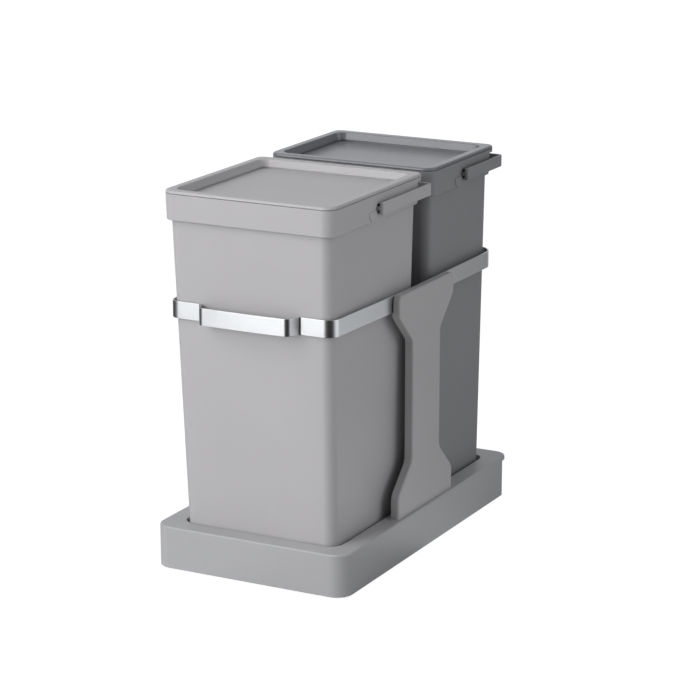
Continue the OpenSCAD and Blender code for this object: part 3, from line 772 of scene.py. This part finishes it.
class WASTE_OT_bins(bpy.types.Operator):
    """Builds both bins as moulded shells with their collars, lid seats and foot rings"""

    bl_idname = "waste.bins"
    bl_label = "Bins"

    def execute(self, context):
        b = context.scene.waste_bin
        for case in bin_cases():
            front_draft, rear_draft = case["drafts"]
            rim, foot = case["z1"], case["z0"]
            under = rim - b.collar
            collar = (case["half"], case["y0"], case["y1"], b.radius, b.radius)
            mouth = grown(collar, b.flare)
            body_r = b.radius - 2 * MM

            def wall(z, inset):
                """The tapered wall's outline at the height z, inset."""
                drop = under - z
                return (
                    case["half"] - b.step - inset - SIDE_DRAFT * drop,
                    case["y0"] + b.step + inset + front_draft * drop,
                    case["y1"] - b.rear_step - inset - rear_draft * drop,
                    body_r - inset, body_r - inset,
                )

            soft, band, hollow, brim = 0.5 * MM, 12 * MM, 1.5 * MM, 0.3 * MM
            f, hem = b.foot, 1.1 * MM
            rings = [ring(wall(foot, band), foot + hollow), ring(wall(foot, band), foot + brim)]
            rings.append(ring(wall(foot, band - brim), foot))
            for a in (90, 67.5, 45, 22.5, 0):
                a = math.radians(a)
                z = foot + f * (1 - math.sin(a))
                rings.append(ring(wall(z, f * (1 - math.cos(a))), z))
            rings.append(ring(wall(under, 0), under))
            cavity = rim - b.wall
            rings += [ring(wall(cavity, 0), cavity), ring(grown(mouth, -b.wall), cavity)]
            rings.append(ring(grown(collar, -b.wall), under + soft))
            for a in (90, 60, 30, 0):
                a = math.radians(a)
                z = under + hem * (1 - math.sin(a))
                rings.append(ring(grown(collar, -hem * (1 - math.cos(a))), z))
            for inset, below in ((0.02, 0.6), (0.2, 0.15), (0.6, 0)):
                rings.append(ring(grown(mouth, -inset * MM), rim - below * MM))
            rings += [ring(wall(rim, b.wall - soft), rim), ring(wall(rim - soft, b.wall), rim - soft)]
            floor = foot + 3 * MM
            for a in (0, 30, 60, 90):
                a = math.radians(a)
                z = floor + f * (1 - math.sin(a))
                rings.append(ring(wall(z, b.wall + f * (1 - math.cos(a))), z))
            bm = bmesh.new()
            skin(bm, rings)
            low, high = rim - b.seat_height - 1 * MM, rim + 1 * MM
            space = bmesh.new()
            skin(space, [ring(wall(z, b.wall - 0.4 * MM), z) for z in (low, high)])
            bm = carved(bm, self.fittings(case, b, space))
            prefix, key = case["prefix"], case["material"]
            piece(
                prefix + "_bin_shell", bm, MATERIALS[key], prefix + "_bin_body", prefix + "_bin",
                slot=key + "_plastic",
            )
        return {"FINISHED"}

    def fittings(self, case, b, space):
        """The lid seat, the pads and bushes that are added, then the holes that are cut."""
        rim, half = case["z1"], case["half"]
        side, e = half + b.flare - 0.3 * MM, 0.5 * MM
        seat = (side, case["y1"] - 2 * b.radius, case["y1"] + b.seat, b.wall, b.seat_radius)
        bm = bmesh.new()
        low = rim - b.seat_height
        skin(bm, [
            ring(grown(seat, -e), low), ring(grown(seat, -0.15 * MM), low + 0.15 * MM), ring(seat, low + e),
            ring(seat, rim - e), ring(grown(seat, -0.15 * MM), rim - 0.15 * MM), ring(grown(seat, -e), rim),
        ])
        tools = [("UNION", carved(bm, [("DIFFERENCE", space)]))]
        pivot = Vector(joint(case["prefix"] + "_handle_swing")["pos_m"])
        base = rim - b.collar + 0.4 * MM
        wide, tall, face = b.pad_width / 2, b.pad_height, half + b.pad_raise
        small, large = 2 * MM, tall - 2.5 * MM
        for sign in (-1, 1):
            bm = bmesh.new()
            pad = []
            for x, out in ((half - b.wall / 2, 0), (face - e, 0), (face - 0.15 * MM, 0.15 * MM), (face, e)):
                flat = arc(pivot.y + wide - large, base + large, large - out, -90, 0, 12)
                flat += arc(pivot.y + wide - small, base + tall - small, small - out, 0, 90, 6)
                flat += arc(pivot.y - wide + small, base + tall - small, small - out, 90, 180, 6)
                flat += arc(pivot.y - wide + large, base + large, large - out, 180, 270, 12)
                pad.append([(sign * x, y, z) for y, z in flat])
            skin(bm, pad)
            tools.append(("UNION", bm))
            wall = half - b.step
            bush_end = wall + b.bush_length
            tools.append(("UNION", rod(sign, wall - 1 * MM, bush_end, b.bush, pivot)))
            tools.append(("DIFFERENCE", rod(sign, bush_end + 0.1 * MM, face + 2 * MM, b.hole, pivot)))
            pin = bpy.context.scene.waste_handle.pin + 0.05 * MM
            tools.append(("DIFFERENCE", rod(sign, wall, bush_end + 1 * MM, pin, pivot)))
        return tools


class WASTE_OT_lids(bpy.types.Operator):
    """Builds both lids with their raised rims and dished middles"""

    bl_idname = "waste.lids"
    bl_label = "Lids"

    def execute(self, context):
        s, b = context.scene.waste_lid, context.scene.waste_bin
        for case in bin_cases():
            low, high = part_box(case["prefix"] + "_lid")
            seat_z, top = case["z1"], high.z
            rim = (high.x, low.y, high.y, b.radius, b.seat_radius)
            r = b.radius - 3 * MM
            dish = (high.x - s.rim, low.y + s.rim, high.y - s.rear_rim, r, r)
            floor = top - s.dish
            e = s.edge
            base = grown(dish, s.wall - s.draft)
            soft, under = 0.8 * MM, floor - s.wall
            rings = [ring(grown(base, -soft), under), ring(base, under + soft)]
            rings += [ring(grown(dish, s.wall), seat_z)]
            rings += [ring(grown(rim, -s.joint_depth), z) for z in (seat_z, seat_z + s.joint)]
            rings += [ring(grown(rim, q), seat_z + s.joint + w) for q, w in ((-0.2 * MM, 0), (0, 0.2 * MM))]
            for a in (0, 15, 30, 45, 60, 75, 90):
                a = math.radians(a)
                rings.append(ring(grown(rim, -e * (1 - math.cos(a))), top - e * (1 - math.sin(a))))
            for a in (90, 67.5, 45, 22.5, 0):
                a = math.radians(a)
                rings.append(ring(grown(dish, s.lip * (1 - math.cos(a))), top - s.lip * (1 - math.sin(a))))
            foot, gap = grown(dish, -s.draft), s.gap
            brink, deep = 0.1 * MM, s.gap_depth
            for out, rise in ((brink, gap + 3 * brink), (2 * brink, gap), (deep, gap), (deep, 0)):
                rings.append(ring(grown(foot, out), floor + rise))
            bm = bmesh.new()
            skin(bm, rings)
            prefix = case["prefix"]
            key = "light" if prefix == "front" else "dark_lid"
            piece(
                prefix + "_lid_moulding", bm, MATERIALS[key], prefix + "_lid_body", prefix + "_lid",
                slot=key + "_plastic",
            )
        return {"FINISHED"}


class WASTE_OT_handles(bpy.types.Operator):
    """Builds both bail handles: a flat bent bar with a round pin at the end of each arm"""

    bl_idname = "waste.handles"
    bl_label = "Handles"

    def execute(self, context):
        h, b = context.scene.waste_handle, context.scene.waste_bin
        for case in bin_cases():
            prefix, key = case["prefix"], case["material"]
            low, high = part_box(prefix + "_handle")
            pivot = Vector(joint(prefix + "_handle_swing")["pos_m"])
            t, tall, z_mid = h.thickness, h.height, (low.z + high.z) / 2
            half, rear, r = high.x - t / 2, high.y - t / 2, h.bend - t / 2
            line = []
            for away, soft in ((0, 0.7), (0.2, 0.35), (0.45, 0.12), (0.8, 0)):
                line.append((half, pivot.y - h.front + away * MM, 90, soft * MM))
            for x, start in ((half - r, 0), (r - half, 90)):
                for i in range(11):
                    c = math.radians(start + 9 * i)
                    line.append((x + r * math.cos(c), rear - r + r * math.sin(c), 90 + start + 9 * i, 0))
            for x, y, _, soft in reversed(line[:4]):
                line.append((-x, y, 270, soft))
            bm, rings, e = bmesh.new(), [], 0.9 * MM
            for x, y, turn, soft in line:
                c = math.radians(turn + 90)
                out, up = t / 2 - soft, tall / 2 - soft
                section = arc(e - out, e - up, e, 180, 270, 4) + arc(out - e, e - up, e, 270, 360, 4)
                section += arc(out - e, up - e, e, 0, 90, 4) + arc(e - out, up - e, e, 90, 180, 4)
                rings.append([(x + math.cos(c) * q, y + math.sin(c) * q, z_mid + w) for q, w in section])
            skin(bm, rings)
            for sign in (-1, 1):
                pin = rod(sign, case["half"] - b.step + 0.3 * MM, half, h.pin, pivot, 0.5 * MM)
                mesh = bpy.data.meshes.new("pin")
                pin.to_mesh(mesh)
                pin.free()
                bm.from_mesh(mesh)
                bpy.data.meshes.remove(mesh)
            piece(
                prefix + "_bail", bm, MATERIALS[key], prefix + "_handle_body", prefix + "_handle",
                slot=key + "_plastic",
            )
        return {"FINISHED"}


class WASTE_OT_running_gear(bpy.types.Operator):
    """Gives the slides, the floor frame, the balls and the fasteners their finishes"""

    bl_idname = "waste.running_gear"
    bl_label = "Slides and frame"

    def execute(self, context):
        finishes = {
            "zinc": ["slide_outer_left", "slide_outer_right", "slide_inner_left", "slide_inner_right",
                     "slide_middle_left", "slide_middle_right"],
            "screw": ["slide_rivets", "frame_rivets", "upright_screws", "band_screws"],
            "ball": ["balls_outer", "balls_inner"],
            "cage": ["ball_cages_outer", "ball_cages_inner"],
            "coat": ["floor_frame"],
        }
        for key, names in finishes.items():
            for name in names:
                data = frame["nodes"][name].data
                data.materials.clear()
                data.materials.append(MATERIALS[key])
        return {"FINISHED"}


class WASTE_OT_stage(bpy.types.Operator):
    """Sets the pale floor, the soft lights and the camera"""

    bl_idname = "waste.stage"
    bl_label = "Stage"

    def execute(self, context):
        scene, s = context.scene, context.scene.waste_studio
        bm = bmesh.new()
        corners = ((-1, -1), (1, -1), (1, 1), (-1, 1))
        bm.faces.new([bm.verts.new((x * FLOOR_HALF, y * FLOOR_HALF, 0)) for x, y in corners])
        mesh = bpy.data.meshes.new("floor")
        bm.to_mesh(mesh)
        bm.free()
        floor = bpy.data.objects.new("floor", mesh)
        scene.collection.objects.link(floor)
        mesh.materials.append(studio_floor(s.mirror))

        for name, (width, place) in LAMPS.items():
            light = bpy.data.lights.new(name, "AREA")
            light.energy, light.size, light.shape = getattr(s, name), width, "SQUARE"
            lamp = bpy.data.objects.new(name, light)
            scene.collection.objects.link(lamp)
            lamp.location = place
            lamp.rotation_euler = (Vector(LAMP_AIM) - Vector(place)).to_track_quat("-Z", "Y").to_euler()

        world = bpy.data.worlds.new("studio")
        scene.world = world
        world.use_nodes = True
        tree = world.node_tree
        tree.nodes.clear()
        path = add(tree, "ShaderNodeLightPath")
        seen = add(
            tree, "ShaderNodeMath", settings={"operation": "MAXIMUM"},
            links={0: path.outputs["Is Camera Ray"], 1: path.outputs["Is Transmission Ray"]},
        )
        around = around_the_unit(tree, "Generated")
        # Half of the soft light comes evenly from all round, half from where the softboxes are.
        bounced = add(
            tree, "ShaderNodeMixRGB", inputs={"Fac": 0.5, "Color2": (0.38, 0.385, 0.39, 1)},
            links={"Color1": around},
        )
        room = add(
            tree, "ShaderNodeBackground", inputs={"Strength": s.ambient},
            links={"Color": bounced.outputs["Color"]},
        )
        mirror = add(tree, "ShaderNodeBackground", inputs={"Strength": s.mirror}, links={"Color": around})
        white = add(tree, "ShaderNodeBackground", inputs={"Color": (1, 1, 1, 1), "Strength": 1})
        glossy = add(
            tree, "ShaderNodeMixShader",
            links={0: path.outputs["Is Glossy Ray"], 1: room.outputs[0], 2: mirror.outputs[0]},
        )
        both = add(
            tree, "ShaderNodeMixShader",
            links={0: seen.outputs[0], 1: glossy.outputs[0], 2: white.outputs[0]},
        )
        add(tree, "ShaderNodeOutputWorld", links={"Surface": both.outputs[0]})

        data = bpy.data.cameras.new("camera")
        data.lens, data.sensor_width = s.lens, 36.0
        camera = bpy.data.objects.new("camera", data)
        scene.collection.objects.link(camera)
        camera.location = CAMERA_PLACE
        tilt, turn = math.radians(90 - CAMERA_ELEVATION), math.radians(CAMERA_AZIMUTH)
        camera.rotation_euler = Euler((tilt, 0, turn))
        scene.camera = camera
        scene.view_settings.view_transform = "Standard"
        return {"FINISHED"}


class WASTE_PT_panel(bpy.types.Panel):
    """Lists the sizes, the colours and the steps of the waste unit"""

    bl_label = "Waste unit"
    bl_idname = "WASTE_PT_panel"
    bl_space_type = "VIEW_3D"
    bl_region_type = "UI"
    bl_category = "Waste unit"

    def draw(self, context):
        for key, group in GROUPS.items():
            box = self.layout.box()
            values = getattr(context.scene, key)
            for prop in group.__annotations__:
                box.prop(values, prop)
        for step in STEPS:
            self.layout.operator(step.bl_idname)


STEPS = (
    WASTE_OT_tray,
    WASTE_OT_uprights,
    WASTE_OT_band,
    WASTE_OT_bins,
    WASTE_OT_lids,
    WASTE_OT_handles,
    WASTE_OT_running_gear,
    WASTE_OT_stage,
)
CLASSES = tuple(GROUPS.values()) + STEPS + (WASTE_PT_panel,)
MATERIALS = {}


def register():
    for item in CLASSES:
        bpy.utils.register_class(item)
    for key, group in GROUPS.items():
        setattr(bpy.types.Scene, key, PointerProperty(type=group))


def unregister():
    for key in GROUPS:
        delattr(bpy.types.Scene, key)
    for item in reversed(CLASSES):
        bpy.utils.unregister_class(item)


def mix_materials():
    """Makes each finish once, from the colours in the panel."""
    c = bpy.context.scene.waste_colours
    MATERIALS.update(
        light=moulded_polypropylene("polypropylene, moulded, light grey", c.light),
        dark=moulded_polypropylene("polypropylene, moulded, dark grey", c.dark),
        dark_lid=moulded_polypropylene("polypropylene, moulded, lid grey", c.dark_lid, roughness=0.24),
        tray=moulded_polypropylene("polypropylene, moulded, tray grey", c.tray),
        upright=moulded_polypropylene("polypropylene, moulded, upright grey", c.upright),
        steel=brushed_stainless("stainless steel, brushed lengthways", c.steel),
        zinc=plated_steel("rolled steel, zinc plated", c.zinc),
        screw=plated_steel("screw steel, zinc plated", c.zinc, 0.28),
        ball=plated_steel("bearing steel, polished", c.steel, 0.12),
        cage=moulded_polypropylene("acetal, moulded, cage grey", c.upright),
        coat=powder_coat("sheet steel, powder coated", c.coat),
    )


def main():
    """Builds every piece and the stage in order."""
    register()
    mix_materials()
    for step in STEPS:
        group, name = step.bl_idname.split(".")
        getattr(getattr(bpy.ops, group), name)()


if __name__ == "__main__":
    main()
